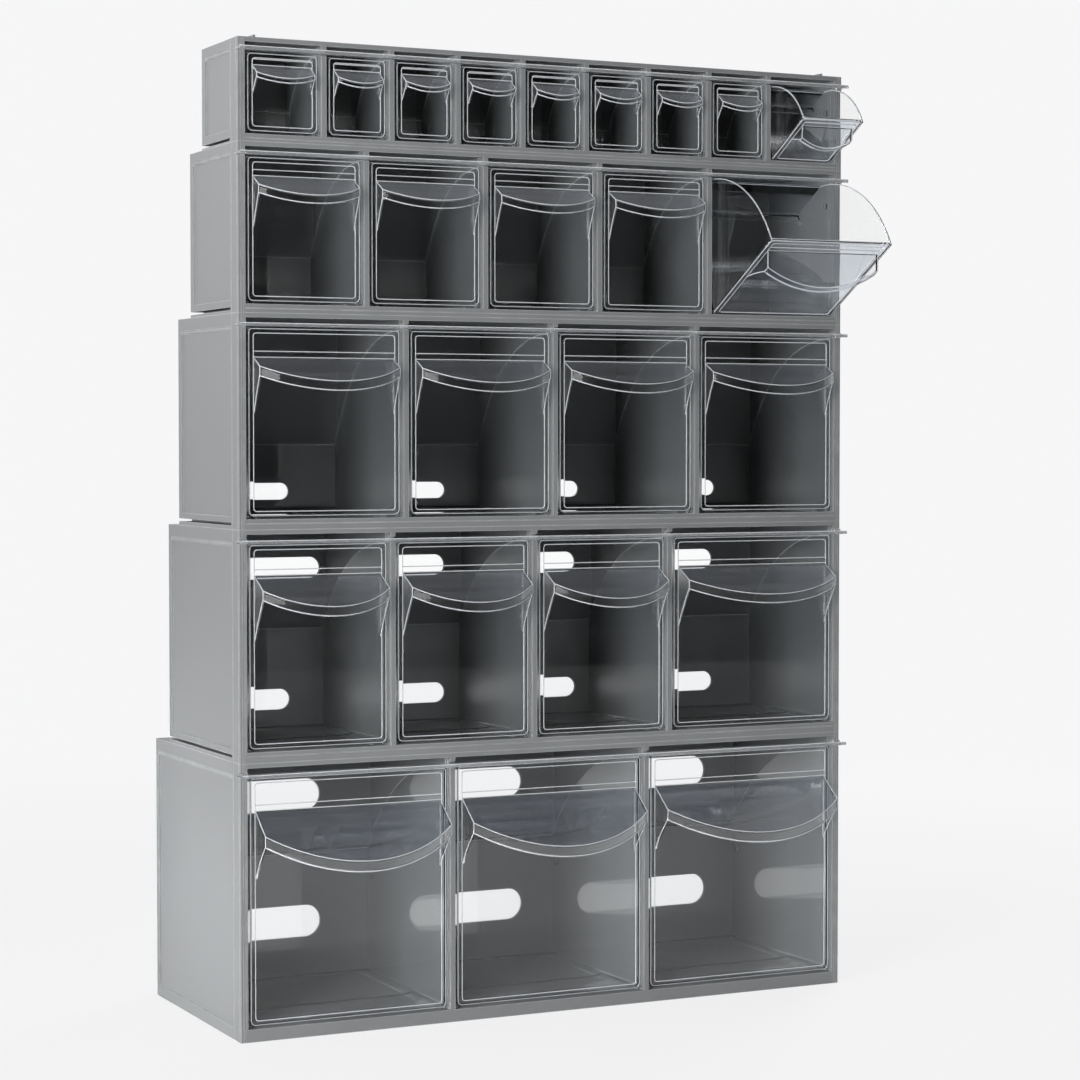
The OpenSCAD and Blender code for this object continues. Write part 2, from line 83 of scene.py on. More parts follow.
def join(tree, n, *links):
    """Links nodes by name: "from.socket > to.socket", where a socket is a name or a number."""
    for link in links:
        (a, i), (b, j) = (end.strip().split(".") for end in link.split(">"))
        tree.links.new(n[a].outputs[int(i) if i.isdigit() else i], n[b].inputs[int(j) if j.isdigit() else j])


def ramp(low, high, start=0.0, end=1.0, smooth=False):
    """A Map Range node that takes low..high to start..end."""
    settings = {"interpolation_type": "SMOOTHSTEP"} if smooth else {}
    sockets = {"From Min": low, "From Max": high, "To Min": start, "To Max": end}
    return "ShaderNodeMapRange", settings, sockets


def maths(operation, sockets=(), **settings):
    """A Math node, with its sockets set by number."""
    return "ShaderNodeMath", {"operation": operation, **settings}, dict(sockets)


def new_material(name):
    m = bpy.data.materials.new(name)
    m.use_nodes = True
    m.node_tree.nodes.clear()
    return m, m.node_tree


floor_mat, t = new_material("floor_white")
n = add_nodes(t,
    out=("ShaderNodeOutputMaterial", {}, {}),
    skin=("ShaderNodeBsdfPrincipled", {}, {
        "Base Color": FLOOR_WHITE, "Roughness": 0.6, "Specular IOR Level": 0.15}),
    white=("ShaderNodeEmission", {}, {"Color": STUDIO_WHITE, "Strength": 1.0}),
    dark=("ShaderNodeBsdfDiffuse", {}, {"Color": DARK_ROOM}),
    coords=("ShaderNodeTexCoord", {}, {}),
    length=("ShaderNodeVectorMath", {"operation": "LENGTH"}, {}),
    fade=ramp(0.7, 2.0, 0.87, 1.0, smooth=True),
    end=ramp(1.2, 1.7, smooth=True),
    path=("ShaderNodeLightPath", {}, {}),
    seen=maths("MAXIMUM"),
    view=("ShaderNodeMixShader", {}, {}),
    rest=("ShaderNodeMixShader", {}, {}),
    mix=("ShaderNodeMixShader", {}, {}))
join(t, n, "coords.Object > length.0", "length.Value > fade.Value", "length.Value > end.Value",
    "path.Is Camera Ray > seen.0", "path.Is Transmission Ray > seen.1", "fade.0 > view.0",
    "skin.0 > view.1", "white.0 > view.2", "end.0 > rest.0", "skin.0 > rest.1", "dark.0 > rest.2",
    "seen.0 > mix.0", "rest.0 > mix.1", "view.0 > mix.2", "mix.0 > out.0")
bm = bmesh.new()
bmesh.ops.create_circle(bm, cap_ends=True, radius=FLOOR_R, segments=FLOOR_SIDES)
floor_mesh = bpy.data.meshes.new("floor")
bm.to_mesh(floor_mesh)
bm.free()
floor_mesh.transform(Matrix.Translation((0, 0, -FLOOR_DROP)))
floor_mesh.materials.append(floor_mat)
floor = bpy.data.objects.new("floor", floor_mesh)
bpy.context.collection.objects.link(floor)

# ------------------------------------------------------------ room and lamps
# A dim white room. Clear plastic mirrors it bright behind, on the left and high up, and dark in
# front. A large soft box stands at the front left and one hangs over the top; small ones lift
# the lower and upper ends of the left side, and one behind keeps the back from going black.
room = bpy.data.worlds.new("room")
bpy.context.scene.world = room
room.use_nodes = True
t = room.node_tree
t.nodes.clear()
n = add_nodes(t,
    out=("ShaderNodeOutputWorld", {}, {}),
    seen=("ShaderNodeBackground", {}, {"Color": STUDIO_WHITE, "Strength": 1.0}),
    soft=("ShaderNodeBackground", {}, {"Color": (0.97, 0.985, 1, 1), "Strength": 0.08}),
    mirror=("ShaderNodeBackground", {}, {"Color": (1, 1, 1, 1)}),
    coords=("ShaderNodeTexCoord", {}, {}),
    split=("ShaderNodeSeparateXYZ", {}, {}),
    back=ramp(-0.1, 0.35, 0.06, 1.0, smooth=True),
    high=ramp(0.3, 0.85, 0.0, 0.55, smooth=True),
    left=ramp(-0.45, -0.8, smooth=True),
    upper=maths("MAXIMUM"),
    bright=maths("MAXIMUM"),
    path=("ShaderNodeLightPath", {}, {}),
    glossy=maths("ADD", use_clamp=True),
    pick1=("ShaderNodeMixShader", {}, {}),
    pick2=("ShaderNodeMixShader", {}, {}))
join(t, n, "coords.Generated > split.0", "split.Y > back.Value", "split.Z > high.Value",
    "split.X > left.Value", "back.0 > upper.0", "high.0 > upper.1", "upper.0 > bright.0",
    "left.0 > bright.1", "bright.0 > mirror.Strength", "path.Is Glossy Ray > glossy.0",
    "path.Is Transmission Ray > glossy.1", "glossy.0 > pick1.0", "soft.0 > pick1.1", "mirror.0 > pick1.2",
    "path.Is Camera Ray > pick2.0", "pick1.0 > pick2.1", "seen.0 > pick2.2", "pick2.0 > out.0")


def soft_box(name, at, aim, size, watts, mirrored=True, spread=180):
    """A flat lamp that faces its aim. One that isn't mirrored leaves no spot on clear plastic."""
    lamp = bpy.data.lights.new(name, "AREA")
    lamp.shape = "RECTANGLE"
    lamp.size, lamp.size_y = size
    lamp.energy = watts
    lamp.spread = radians(spread)
    o = bpy.data.objects.new(name, lamp)
    turned = (Vector(aim) - Vector(at)).to_track_quat("-Z", "Y").to_matrix().to_4x4()
    o.matrix_world = Matrix.Translation(at) @ turned
    o.visible_glossy = mirrored
    o.visible_camera = False
    bpy.context.collection.objects.link(o)


soft_box("lamp_left", (-2.35, -1.75, 0.85), (0, 0, 0.4), (1.2, 1.3), 88, mirrored=False)
soft_box("lamp_edge", (-2.9, -0.35, 0.7), (0, 0, 0.4), (0.5, 1.6), 4)
soft_box("lamp_top", (0, -0.3, 2.7), (0, 0, 0.5), (2.4, 1.2), 21)
soft_box("lamp_low", (-1.3, -0.2, 0.12), (-0.3, 0, 0.13), (0.5, 0.12), 0.36, mirrored=False, spread=36)
soft_box("lamp_high", (-0.66, -0.1, 0.9), (-0.3, 0, 0.84), (0.4, 0.08), 0.5, mirrored=False)
soft_box("lamp_back", (2.5, 1.9, 1.2), (0, 0, 0.4), (1.2, 1.2), 75, mirrored=False)

# ---------------------------------------------------------------- housings
# Five boxes of grey plastic, moulded in one piece each: side panels, dividers, a beam under
# the bays, and a back wall, slotted in the lower three rows. Each stands on the one below it,
# fronts flush. The mould leaves small radii on the edges and a fine satin grain on the faces.
# The edges are also painted lighter in colour, as a painted highlight broken up by noise.
HOUSING_GREY = (0.235, 0.242, 0.246, 1)
HOUSING_EDGE_HIGHLIGHT = (0.6, 0.607, 0.61, 1)
HOUSING_R = 0.0005
BEVEL_STEPS, BEVEL_FROM = 2, radians(28)
SAME_POINT, SAME_PLANE = 1e-6, radians(0.4)


def grain_and_highlight_group():
    """Fine moulded grain, slow flow marks, and a painted highlight on the edges broken up by noise: colour,
    roughness and height.
    """
    g = bpy.data.node_groups.new("moulded_grain_and_edge_highlight", "ShaderNodeTree")
    for name, kind, value in (
            ("Colour", "NodeSocketColor", (0.5, 0.5, 0.5, 1)),
            ("Edge Colour", "NodeSocketColor", (0.6, 0.6, 0.6, 1)),
            ("Grain Scale", "NodeSocketFloat", 2600), ("Roughness", "NodeSocketFloat", 0.5),
            ("Mottle", "NodeSocketFloat", 0.06)):
        s = g.interface.new_socket(name=name, in_out="INPUT", socket_type=kind)
        s.default_value = value
    for name, kind in (
            ("Colour", "NodeSocketColor"), ("Roughness", "NodeSocketFloat"), ("Height", "NodeSocketFloat")):
        g.interface.new_socket(name=name, in_out="OUTPUT", socket_type=kind)
    n = add_nodes(g,
        inp=("NodeGroupInput", {}, {}), out=("NodeGroupOutput", {}, {}),
        coords=("ShaderNodeTexCoord", {}, {}),
        grain=("ShaderNodeTexNoise", {}, {"Detail": 2.0, "Roughness": 0.6}),
        flow=("ShaderNodeTexNoise", {}, {"Scale": 9.0, "Detail": 3.0, "Distortion": 0.6}),
        streak=("ShaderNodeMapping", {}, {"Scale": (1.0, 1.0, 0.35)}),
        # The bevel normal finds the edges. They are painted towards the edge colour as a painted highlight,
        # broken up by noise.
        bevel=("ShaderNodeBevel", {"samples": 4}, {"Radius": 0.0009}),
        geo=("ShaderNodeNewGeometry", {}, {}),
        facing=("ShaderNodeVectorMath", {"operation": "DOT_PRODUCT"}, {}),
        edge=ramp(0.995, 0.86),
        breakup=("ShaderNodeTexNoise", {}, {"Scale": 60.0, "Detail": 3.0}),
        worn=ramp(0.3, 0.7, 0.45, 1.0),
        edgemask=maths("MULTIPLY"),
        tone=("ShaderNodeMix", {"data_type": "RGBA"}, {}),
        shade=ramp(0.25, 0.75),
        low=maths("SUBTRACT", {0: 1.0}),
        high=maths("ADD", {0: 1.0}),
        scaled=("ShaderNodeVectorMath", {"operation": "SCALE"}, {}),
        rough=ramp(0.3, 0.7),
        rlow=maths("MULTIPLY", {1: 0.88}),
        rhigh=maths("MULTIPLY", {1: 1.12}))
    join(g, n, "coords.Object > grain.Vector", "inp.Grain Scale > grain.Scale",
        "coords.Object > streak.0", "streak.0 > flow.Vector", "coords.Object > breakup.Vector",
        "bevel.0 > facing.0", "geo.Normal > facing.1", "facing.Value > edge.Value",
        "breakup.Fac > worn.Value", "edge.0 > edgemask.0", "worn.0 > edgemask.1",
        "edgemask.0 > tone.Factor", "inp.Colour > tone.A", "inp.Edge Colour > tone.B",
        "flow.Fac > shade.Value", "inp.Mottle > low.1", "inp.Mottle > high.1", "low.0 > shade.To Min",
        "high.0 > shade.To Max", "tone.Result > scaled.0", "shade.0 > scaled.Scale",
        "scaled.0 > out.Colour", "inp.Roughness > rlow.0", "inp.Roughness > rhigh.0",
        "flow.Fac > rough.Value", "rlow.0 > rough.To Min", "rhigh.0 > rough.To Max",
        "rough.0 > out.Roughness", "grain.Fac > out.Height")
    return g


GRAIN_AND_HIGHLIGHT = grain_and_highlight_group()
housing_mat, t = new_material("housing_plastic")
n = add_nodes(t,
    out=("ShaderNodeOutputMaterial", {}, {}),
    skin=("ShaderNodeBsdfPrincipled", {}, {"Specular IOR Level": 0.27}),
    grain=("ShaderNodeGroup", {"node_tree": GRAIN_AND_HIGHLIGHT}, {"Colour": HOUSING_GREY, "Edge Colour": HOUSING_EDGE_HIGHLIGHT,
        "Grain Scale": 2600, "Roughness": 0.46, "Mottle": 0.05}),
    bump=("ShaderNodeBump", {}, {"Strength": 0.35, "Distance": 0.00005}))
join(t, n, "grain.Colour > skin.Base Color", "grain.Roughness > skin.Roughness",
    "grain.Height > bump.Height", "bump.0 > skin.Normal", "skin.0 > out.0")


def with_radius(node, name, radius):
    """A copy of a CAD node's shape with its sharp edges rounded as the mould leaves them."""
    bm = bmesh.new()
    bm.from_mesh(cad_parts[node].data)
    bmesh.ops.remove_doubles(bm, verts=bm.verts, dist=SAME_POINT)
    bmesh.ops.dissolve_limit(bm, angle_limit=SAME_PLANE, verts=bm.verts, edges=bm.edges)
    bmesh.ops.triangulate(bm, faces=bm.faces[:])
    bm.verts.index_update()
    mesh = bpy.data.meshes.new(name)
    mesh.from_pydata([v.co[:] for v in bm.verts], [], [[v.index for v in f.verts] for f in bm.faces])
    bm.free()
    mesh.shade_smooth()
    o = bpy.data.objects.new(name, mesh)
    bpy.context.collection.objects.link(o)
    b = o.modifiers.new("radius", "BEVEL")
    b.width = radius
    b.segments = BEVEL_STEPS
    b.limit_method = "ANGLE"
    b.angle_limit = BEVEL_FROM
    b.use_clamp_overlap = True
    b.harden_normals = True
    b.loop_slide = False
    return o


for row in range(1, 6):
    node = f"row{row}_housing"
    o = with_radius(node, f"housing_{row}", HOUSING_R)
    o.data.materials.append(housing_mat)
    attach(o, "cabinet")
    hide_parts(node)

# ------------------------------------------------------------ clear plastic
# The bins and the strips over them are clear moulded plastic with slight handling marks. It
# loses a little light at every face and is a little frosted where it lies flat. The beads, the
# strips and the line along each strip's nose are whitened as a painted highlight, for the bright lines along
# clear edges.
CLEAR_TINT = (0.99, 0.995, 0.997, 1)
PLATE_TINT = (0.72, 0.75, 0.8, 1)
FROST_AND_HIGHLIGHT_WHITE = (0.75, 0.765, 0.79, 1)
PASSED_LARGE, PASSED_SMALL = (0.93, 0.94, 0.945, 1), (0.83, 0.84, 0.845, 1)


def wear_group():
    """Handling marks on clear plastic: fine scratches and a faint haze, as roughness and height."""
    g = bpy.data.node_groups.new("handling_marks", "ShaderNodeTree")
    for name, value in (("Polish", 0.03), ("Haze", 0.05), ("Scale", 40.0)):
        s = g.interface.new_socket(name=name, in_out="INPUT", socket_type="NodeSocketFloat")
        s.default_value = value
    for name in ("Roughness", "Height"):
        g.interface.new_socket(name=name, in_out="OUTPUT", socket_type="NodeSocketFloat")
    n = add_nodes(g,
        inp=("NodeGroupInput", {}, {}), out=("NodeGroupOutput", {}, {}),
        coords=("ShaderNodeTexCoord", {}, {}),
        cloud=("ShaderNodeTexNoise", {}, {"Detail": 4.0, "Roughness": 0.65, "Distortion": 0.8}),
        mask=ramp(0.45, 0.8),
        wave=("ShaderNodeTexNoise", {}, {"Scale": 22.0, "Detail": 1.0}),
        rough=maths("MULTIPLY_ADD"))
    join(g, n, "coords.Object > cloud.Vector", "inp.Scale > cloud.Scale", "coords.Object > wave.Vector",
        "cloud.Fac > mask.Value", "mask.0 > rough.0", "inp.Haze > rough.1", "inp.Polish > rough.2",
        "rough.0 > out.Roughness", "wave.Fac > out.Height")
    return g


WEAR = wear_group()


def clear_plastic(name, polish, haze, ripple, frost=0.0, floor_frost=0.0, side_grain=0.0, highlight_white=0.0,
        plate_tint=CLEAR_TINT, passed=PASSED_LARGE, ior=1.49):
    """Clear moulded plastic. Its overall whitening is a painted highlight.

    Faces that look up are frosted by "frost", level ones by "floor_frost", side walls roughened by
    "side_grain", and all is whitened by "milk". Sloping plates take "plate_tint". Light on its way to
    a surface behind goes straight through, and "passed" of it is left after each face.
    """
    m, t = new_material(name)
    n = add_nodes(t,
        out=("ShaderNodeOutputMaterial", {}, {}),
        skin=("ShaderNodeBsdfPrincipled", {}, {
            "Base Color": CLEAR_TINT, "IOR": ior, "Transmission Weight": 1.0, "Metallic": 0.0}),
        wear=("ShaderNodeGroup", {"node_tree": WEAR}, {"Polish": polish, "Haze": haze, "Scale": 40.0}),
        bump=("ShaderNodeBump", {}, {"Strength": ripple, "Distance": 0.0004}),
        coords=("ShaderNodeTexCoord", {}, {}),
        axis=("ShaderNodeSeparateXYZ", {}, {}),
        sideways=maths("ABSOLUTE"),
        side=ramp(0.8, 0.95, 0.0, side_grain),
        rough=maths("ADD"),
        lying=maths("ABSOLUTE"),
        slope=ramp(0.5, 0.7),
        flat=ramp(0.92, 0.97),
        plate=maths("SUBTRACT", use_clamp=True),
        tone=("ShaderNodeMix", {"data_type": "RGBA"}, {"A": CLEAR_TINT, "B": plate_tint}),
        # The white diffuse mixed in is frosting on faces that look up and, on beads and strips, a painted
        # highlight.
        up=ramp(0.55, 0.75, highlight_white, max(frost, highlight_white)),
        floor=ramp(0.92, 0.97, 0.0, floor_frost),
        frosted=maths("MAXIMUM"),
        white=("ShaderNodeBsdfDiffuse", {}, {"Color": FROST_AND_HIGHLIGHT_WHITE, "Roughness": 0.3}),
        clear=("ShaderNodeMixShader", {}, {}),
        light=("ShaderNodeBsdfTransparent", {}, {"Color": passed}),
        path=("ShaderNodeLightPath", {}, {}),
        lighting=maths("MAXIMUM"),
        mix=("ShaderNodeMixShader", {}, {}))
    join(t, n, "wear.Roughness > rough.0", "side.0 > rough.1", "rough.0 > skin.Roughness",
        "coords.Normal > axis.0", "axis.X > sideways.0", "sideways.0 > side.Value", "axis.Z > up.Value",
        "axis.Z > floor.Value", "up.0 > frosted.0", "floor.0 > frosted.1", "frosted.0 > clear.0",
        "axis.Z > lying.0", "lying.0 > slope.Value", "lying.0 > flat.Value", "slope.0 > plate.0",
        "flat.0 > plate.1", "plate.0 > tone.Factor", "tone.Result > skin.Base Color", "skin.0 > clear.1",
        "white.0 > clear.2", "wear.Height > bump.Height", "bump.0 > skin.Normal",
        "path.Is Shadow Ray > lighting.0", "path.Is Diffuse Ray > lighting.1", "lighting.0 > mix.0",
        "clear.0 > mix.1", "light.0 > mix.2", "mix.0 > out.0")
    return m


# -------------------------------------------------------------- tip-out bins
# Clear bins, each moulded in one piece: a thin box with a framed front panel, a crescent
# handle on it, and a pin low on each side that it tips about. Fine round beads follow the
# frame, the fold of the handle, its lip and the curved top edge of the sides; their whitening
# is a painted highlight.
CABINET_W, STILE_W, DIVIDER_T, FRONT_Y = 0.6, 0.0064, 0.0046, -0.115
TOP_T, STRIP_DROP, STRIP_H = 0.004, 0.0035, 0.0044
# Gaps round a bin, and its pivot
SIDE_GAP, BIN_FRONT, BIN_LIFT, STRIP_GAP, REAR_GAP = 0.003, 0.002, 0.002, 0.0007, 0.004
PIVOT_Y, PIVOT_RISE = 0.0053, 0.0012
TIPPED = {(1, 9), (2, 5)}
TIP = radians(60)
# The bin's moulding: wall, radii, frame of the front panel, band at the fold, handle and cheeks
HALF_WALL, BIN_R = 0.0009, 0.00035
BORDER_W, BORDER_H, CORNER_R = 0.0046, 0.0008, 0.005
FOLD_BAND = (0.0008, 0.0058)
HANDLE_INSET, CHEEK_START, CHEEK_PULL_Y, CHEEK_PULL_Z = 0.005, 0.0005, 0.3, 0.55
# The beads: radius, how deep they lie in a face, how far in and round the panel's rim, and steps
BEAD_R, BEAD_SIDES, BEAD_CORNER = 0.00045, 8, 0.0028
BEAD_SINK, BEAD_DROP = 0.0003, BEAD_R * 0.4
RIM_INSET, RIM_SINK, RIM_BEND = 0.0007, 0.0005, 0.0006
CORNER_STEPS, LIP_STEPS, CHEEK_STEPS, TOP_STEPS = 6, 28, 8, 24
# Each row from the top: bays, height, back wall, extra width left and right, height of the beam, fold
# line below the top, handle reach at the middle and ends, its slope, lip, and foot of the cheeks
Row = namedtuple("Row", "bays high back wider_left wider_right beam fold_down reach end slope lip cheek")
ROWS = [Row(*row) for row in (
    (9, 0.088, 0.089, 0.011, 0.012, 0.0065, 0.024, 0.0155, 0.0085, 36, 0.0045, 0.022),
    (5, 0.145, 0.122, 0, 0.024, 0.0075, 0.0295, 0.027, 0.0125, 31, 0.0075, 0.043),
    (4, 0.185, 0.157, 0.005, 0.005, 0.009, 0.0385, 0.037, 0.0135, 28, 0.0085, 0.047),
    (4, 0.200, 0.156, 0, 0.041, 0.0095, 0.040, 0.043, 0.0195, 30, 0.0085, 0.055),
    (3, 0.240, 0.188, 0, 0.008, 0.011, 0.042, 0.052, 0.0235, 38, 0.0096, 0.058))]


def bead_tree():
    """Turns paths into round beads: corners filleted, a circle swept along, ends capped."""
    g = bpy.data.node_groups.new("bead", "GeometryNodeTree")
    g.interface.new_socket(name="Paths", in_out="INPUT", socket_type="NodeSocketGeometry")
    for name, kind, value in (
            ("Radius", "NodeSocketFloat", 0.0005), ("Sides", "NodeSocketInt", 8),
            ("Corner", "NodeSocketFloat", 0.0025)):
        s = g.interface.new_socket(name=name, in_out="INPUT", socket_type=kind)
        s.default_value = value
    g.interface.new_socket(name="Material", in_out="INPUT", socket_type="NodeSocketMaterial")
    g.interface.new_socket(name="Beads", in_out="OUTPUT", socket_type="NodeSocketGeometry")
    n = add_nodes(g,
        inp=("NodeGroupInput", {}, {}), out=("NodeGroupOutput", {}, {}),
        curve=("GeometryNodeMeshToCurve", {}, {}),
        fillet=("GeometryNodeFilletCurve", {"mode": "POLY"}, {"Count": 5, "Limit Radius": True}),
        circle=("GeometryNodeCurvePrimitiveCircle", {}, {}),
        sweep=("GeometryNodeCurveToMesh", {}, {"Fill Caps": True}),
        smooth=("GeometryNodeSetShadeSmooth", {}, {}),
        real=("GeometryNodeRealizeInstances", {}, {}),
        paint=("GeometryNodeSetMaterial", {}, {}))
    join(g, n, "inp.Paths > curve.0", "curve.0 > fillet.Curve", "inp.Corner > fillet.Radius",
        "inp.Sides > circle.Resolution", "inp.Radius > circle.Radius", "fillet.0 > sweep.Curve",
        "circle.0 > sweep.Profile Curve", "sweep.0 > smooth.0", "smooth.0 > real.0", "real.0 > paint.0",
        "inp.Material > paint.Material", "paint.0 > out.0")
    return g


def grown(name, mesh, tree, **inputs):
    """The mesh that a node tree makes from a start mesh, with its inputs set by name."""
    o = bpy.data.objects.new(name, mesh)
    bpy.context.collection.objects.link(o)
    m = o.modifiers.new("grow", "NODES")
    m.node_group = tree
    wanted = {k.lower().replace("_", " "): v for k, v in inputs.items()}
    for item in tree.interface.items_tree:
        if item.item_type == "SOCKET" and item.in_out == "INPUT" and item.name.lower() in wanted:
            m[item.identifier] = wanted[item.name.lower()]
    done = bpy.data.meshes.new_from_object(o.evaluated_get(bpy.context.evaluated_depsgraph_get()))
    o.modifiers.remove(m)
    o.data = done
    done.name = name
    return o


def bend(a, b, c, t):
    """The point at t on the curve from a to c that b pulls towards itself."""
    return (1 - t) ** 2 * a + 2 * t * (1 - t) * b + t * t * c


def bin_paths(row, w):
    """Centre lines of a bin's beads, in the bin's own place: x from its left side, y from the front."""
    low = row.beam + BIN_LIFT
    pivot_z = low + PIVOT_RISE
    top_r = row.high - TOP_T - STRIP_DROP - STRIP_H - STRIP_GAP - pivot_z
    rear = min(row.back - REAR_GAP, PIVOT_Y + top_r - REAR_GAP)
    top, fold, rise = pivot_z + top_r, row.high - row.fold_down, tan(radians(row.slope))
    closed, lines = [], []
    # The frame round the sunk field, and the rim of the panel with its rounded lower corners
    b, y = BORDER_W, BIN_FRONT + BEAD_SINK
    closed.append([(b, y, low + b), (w - b, y, low + b), (w - b, y, top - b), (b, y, top - b)])
    r, y = CORNER_R - RIM_INSET, BIN_FRONT + RIM_SINK
    turns = [pi / 2 * i / CORNER_STEPS for i in range(CORNER_STEPS + 1)]
    turn = [(r * (1 - cos(a)), r * (1 - sin(a))) for a in turns]
    loop = [(RIM_INSET + dx, y + RIM_BEND * (1 - dz / r), low + HALF_WALL + dz) for dx, dz in turn]
    loop += [(w - px, py, pz) for px, py, pz in reversed(loop)]
    closed.append(loop + [(w - RIM_INSET, y, top - HALF_WALL), (RIM_INSET, y, top - HALF_WALL)])
    for z in (fold + band for band in FOLD_BAND):
        lines.append([(b, BIN_FRONT + BEAD_SINK, z), (w - b, BIN_FRONT + BEAD_SINK, z)])
    # The handle's outer edge, a flat arc, along its plate and again along the foot of its lip
    half, sag = w / 2 - HANDLE_INSET, row.reach - row.end
    bow = (half * half + sag * sag) / (2 * sag)
    arc = []
    for i in range(LIP_STEPS + 1):
        x = -half + 2 * half * i / LIP_STEPS
        x = max(-half + BEAD_R, min(half - BEAD_R, x))
        y = bow - row.reach - (bow * bow - x * x) ** 0.5 + BEAD_R
        arc.append((w / 2 + x, y + BIN_FRONT, fold + y * rise))
    lines.append([(x, y, z - BEAD_DROP) for x, y, z in arc])
    lines.append([(x, y, z - row.lip + BEAD_R) for x, y, z in arc])
    # The cheeks: from the fold out to the lip, down it, and back to the panel in a curve
    start = CHEEK_START - row.end
    start_z, foot = fold + start * rise - row.lip, fold - row.cheek
    pull_y, pull_z = start * CHEEK_PULL_Y, start_z - (start_z - foot) * CHEEK_PULL_Z
    for x, y, z in (arc[0], arc[-1]):
        lines.append([(x, BIN_FRONT + BEAD_SINK, fold - BEAD_R), (x, y, z - BEAD_DROP)])
        lines.append([(x, y, z - BEAD_DROP), (x, y, z - row.lip + BEAD_R)])
        curve = [(BIN_FRONT + bend(start, pull_y, BORDER_H, t), bend(start_z, pull_z, foot, t) + BEAD_R)
            for t in (i / CHEEK_STEPS for i in range(CHEEK_STEPS + 1))]
        lines.append([(x, y, z - row.lip + BEAD_R)] + [(x, cy, cz) for cy, cz in curve])
    # The top edges of the side walls, arcs about the pivot, and that of the rear wall
    r = top_r - BEAD_R
    first = -asin((PIVOT_Y - BIN_FRONT - HALF_WALL) / r)
    last = asin((rear - HALF_WALL - PIVOT_Y) / r)
    turns = [first + (last - first) * i / TOP_STEPS for i in range(TOP_STEPS + 1)]
    for x in (HALF_WALL, w - HALF_WALL):
        lines.append([(x, PIVOT_Y + r * sin(a), pivot_z + r * cos(a)) for a in turns])
    z_rear = pivot_z + (r * r - (rear - HALF_WALL - PIVOT_Y) ** 2) ** 0.5
    lines.append([(HALF_WALL, rear - HALF_WALL, z_rear), (w - HALF_WALL, rear - HALF_WALL, z_rear)])
    return closed, lines


def path_mesh(name, closed, lines, place):
    """A mesh of edges only, from closed loops and open lines of points, carried to their place."""
    verts, edges = [], []
    for loop, pts in [(True, p) for p in closed] + [(False, p) for p in lines]:
        start = len(verts)
        verts += [place @ Vector(p) for p in pts]
        edges += [(start + i, start + i + 1) for i in range(len(pts) - 1)]
        if loop:
            edges.append((len(verts) - 1, start))
    mesh = bpy.data.meshes.new(name)
    mesh.from_pydata(verts, edges, [])
    return mesh


BIN_SKIN = {"polish": 0.015, "haze": 0.05, "ripple": 0.02, "plate_tint": PLATE_TINT}
SMALL_BIN_SKIN = {**BIN_SKIN, "floor_frost": 0.03, "side_grain": 0.3, "passed": PASSED_SMALL, "ior": 1.3}
BEAD_SKIN = {"polish": 0.03, "haze": 0.02, "ripple": 0.0}
bin_mat = clear_plastic("clear_bin", frost=0.012, floor_frost=0.05, **BIN_SKIN)
small_bin_mat = clear_plastic("clear_bin_small", frost=0.03, **SMALL_BIN_SKIN)
top_bin_mat = clear_plastic("clear_bin_top", frost=0.07, **SMALL_BIN_SKIN)
# The beads are whitened as a painted highlight, for the bright lines along clear edges.
bead_highlight_mat = clear_plastic("bead_painted_highlight", highlight_white=0.55, **BEAD_SKIN)
BEAD = bead_tree()
z0 = sum(row.high for row in ROWS)
for number, row in enumerate(ROWS, 1):
    z0 -= row.high
    x = -CABINET_W / 2 + STILE_W
    free_w = CABINET_W - 2 * STILE_W - (row.bays - 1) * DIVIDER_T
    base = (free_w - row.wider_left - row.wider_right) / row.bays
    for bay in range(1, row.bays + 1):
        bay_w = base + (row.wider_left if bay == 1 else 0) + (row.wider_right if bay == row.bays else 0)
        node, body = f"row{number}_bin{bay}", f"bin_{number}_{bay}"
        tipped = (number, bay) in TIPPED
        closed_mat = bin_mat if number == 5 else top_bin_mat if number < 3 else small_bin_mat
        shell = with_radius(node, f"{body}_shell", BIN_R)
        shell.data.materials.append(bin_mat if tipped else closed_mat)
        place = Matrix.Translation((x + SIDE_GAP, FRONT_Y, z0))
        if tipped:
            pivot = Matrix.Translation((0, PIVOT_Y, row.beam + BIN_LIFT + PIVOT_RISE))
            place = place @ pivot @ Matrix.Rotation(TIP, 4, "X") @ pivot.inverted()
        closed, lines = bin_paths(row, bay_w - 2 * SIDE_GAP)
        beads = grown(f"{body}_beads", path_mesh(body, closed, lines, place), BEAD,
            radius=BEAD_R, sides=BEAD_SIDES, corner=BEAD_CORNER, material=bead_highlight_mat)
        for o in (shell, beads):
            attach(o, body)
        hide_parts(node)
        x += bay_w + DIVIDER_T

# ------------------------------------------------------------- clear strips
# One clear extruded strip over each row of bins, let into the uprights and dividers, with a
# round nose that stands proud of the housing, a white bead along the top of the nose that is a
# painted highlight, and a small end clip on each side.
NOSE_R, NOSE_SIDES, NOSE_CORNER = 0.0015, 16, 0.001
STRIP_PROUD, STRIP_SEAT, STRIP_OVER = 0.011, 0.0041, 0.0015
BLADE_LOW, BLADE_HIGH, CLIP_PROUD, CLIP_LESS, STRIP_EDGE_R = 0.0004, 0.0026, 0.002, 0.0001, 0.0003
LINE_R, LINE_CORNER = 0.00038, 0.0005
LINE_BACK, LINE_SUNK = NOSE_R * 0.3, LINE_R * 0.6
# The strip is whitened a little, and the line along its nose strongly, as a painted highlight.
strip_mat = clear_plastic("clear_strip", polish=0.04, haze=0.06, ripple=0.05, highlight_white=0.07)
highlight_line_mat = clear_plastic("strip_painted_highlight_line", highlight_white=0.7, **BEAD_SKIN)
z0 = sum(row.high for row in ROWS)
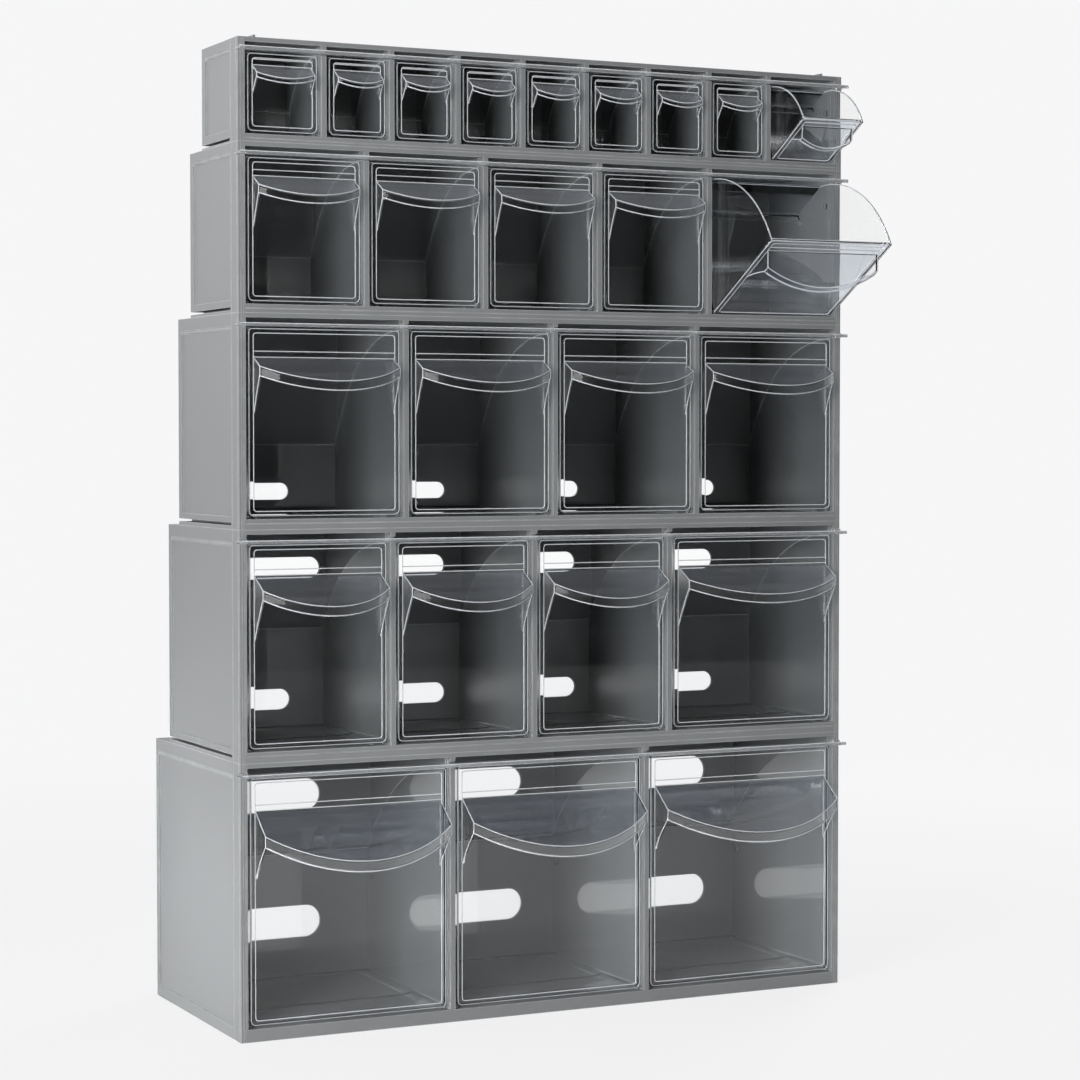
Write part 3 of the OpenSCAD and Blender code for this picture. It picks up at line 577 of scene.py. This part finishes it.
half = CABINET_W / 2
flat = Matrix.Identity(4)
for number, row in enumerate(ROWS, 1):
    z0 -= row.high
    low = z0 + row.high - TOP_T - STRIP_DROP - STRIP_H
    ends = (-half - STRIP_OVER, half + STRIP_OVER)
    nose_y, nose_z = FRONT_Y - STRIP_PROUD + NOSE_R, low + NOSE_R
    line_y, line_z = nose_y - LINE_BACK, nose_z + NOSE_R - LINE_SUNK
    nose_path = path_mesh("nose", [], [[(x, nose_y, nose_z) for x in ends]], flat)
    nose = grown(f"strip_{number}_nose", nose_path, BEAD,
        radius=NOSE_R, sides=NOSE_SIDES, corner=NOSE_CORNER, material=strip_mat)
    line_path = path_mesh("line", [], [[(x, line_y, line_z) for x in ends]], flat)
    line = grown(f"strip_{number}_line", line_path, BEAD,
        radius=LINE_R, sides=BEAD_SIDES, corner=LINE_CORNER, material=highlight_line_mat)
    rear, clip_y, clip_z = FRONT_Y + STRIP_SEAT, FRONT_Y - CLIP_PROUD, low + STRIP_H - CLIP_LESS
    bm = bmesh.new()
    for x0, x1, y0, y1, za, zb in (
            (ends[0], ends[1], nose_y, rear, low + BLADE_LOW, low + BLADE_HIGH),
            (-half, -half + STILE_W, clip_y, rear, low, clip_z),
            (half - STILE_W, half, clip_y, rear, low, clip_z)):
        middle = Matrix.Translation(((x0 + x1) / 2, (y0 + y1) / 2, (za + zb) / 2))
        size = Matrix.Diagonal(Vector((x1 - x0, y1 - y0, zb - za))).to_4x4()
        bmesh.ops.create_cube(bm, size=1, matrix=middle @ size)
    bmesh.ops.bevel(bm, geom=bm.edges[:], offset=STRIP_EDGE_R, segments=2, affect="EDGES", profile=0.5)
    mesh = bpy.data.meshes.new(f"strip_{number}_blade")
    bm.to_mesh(mesh)
    bm.free()
    mesh.materials.append(strip_mat)
    mesh.shade_smooth()
    blade = bpy.data.objects.new(f"strip_{number}_blade", mesh)
    bpy.context.collection.objects.link(blade)
    for o in (nose, line, blade):
        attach(o, "cabinet")
    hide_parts(f"row{number}_strip")
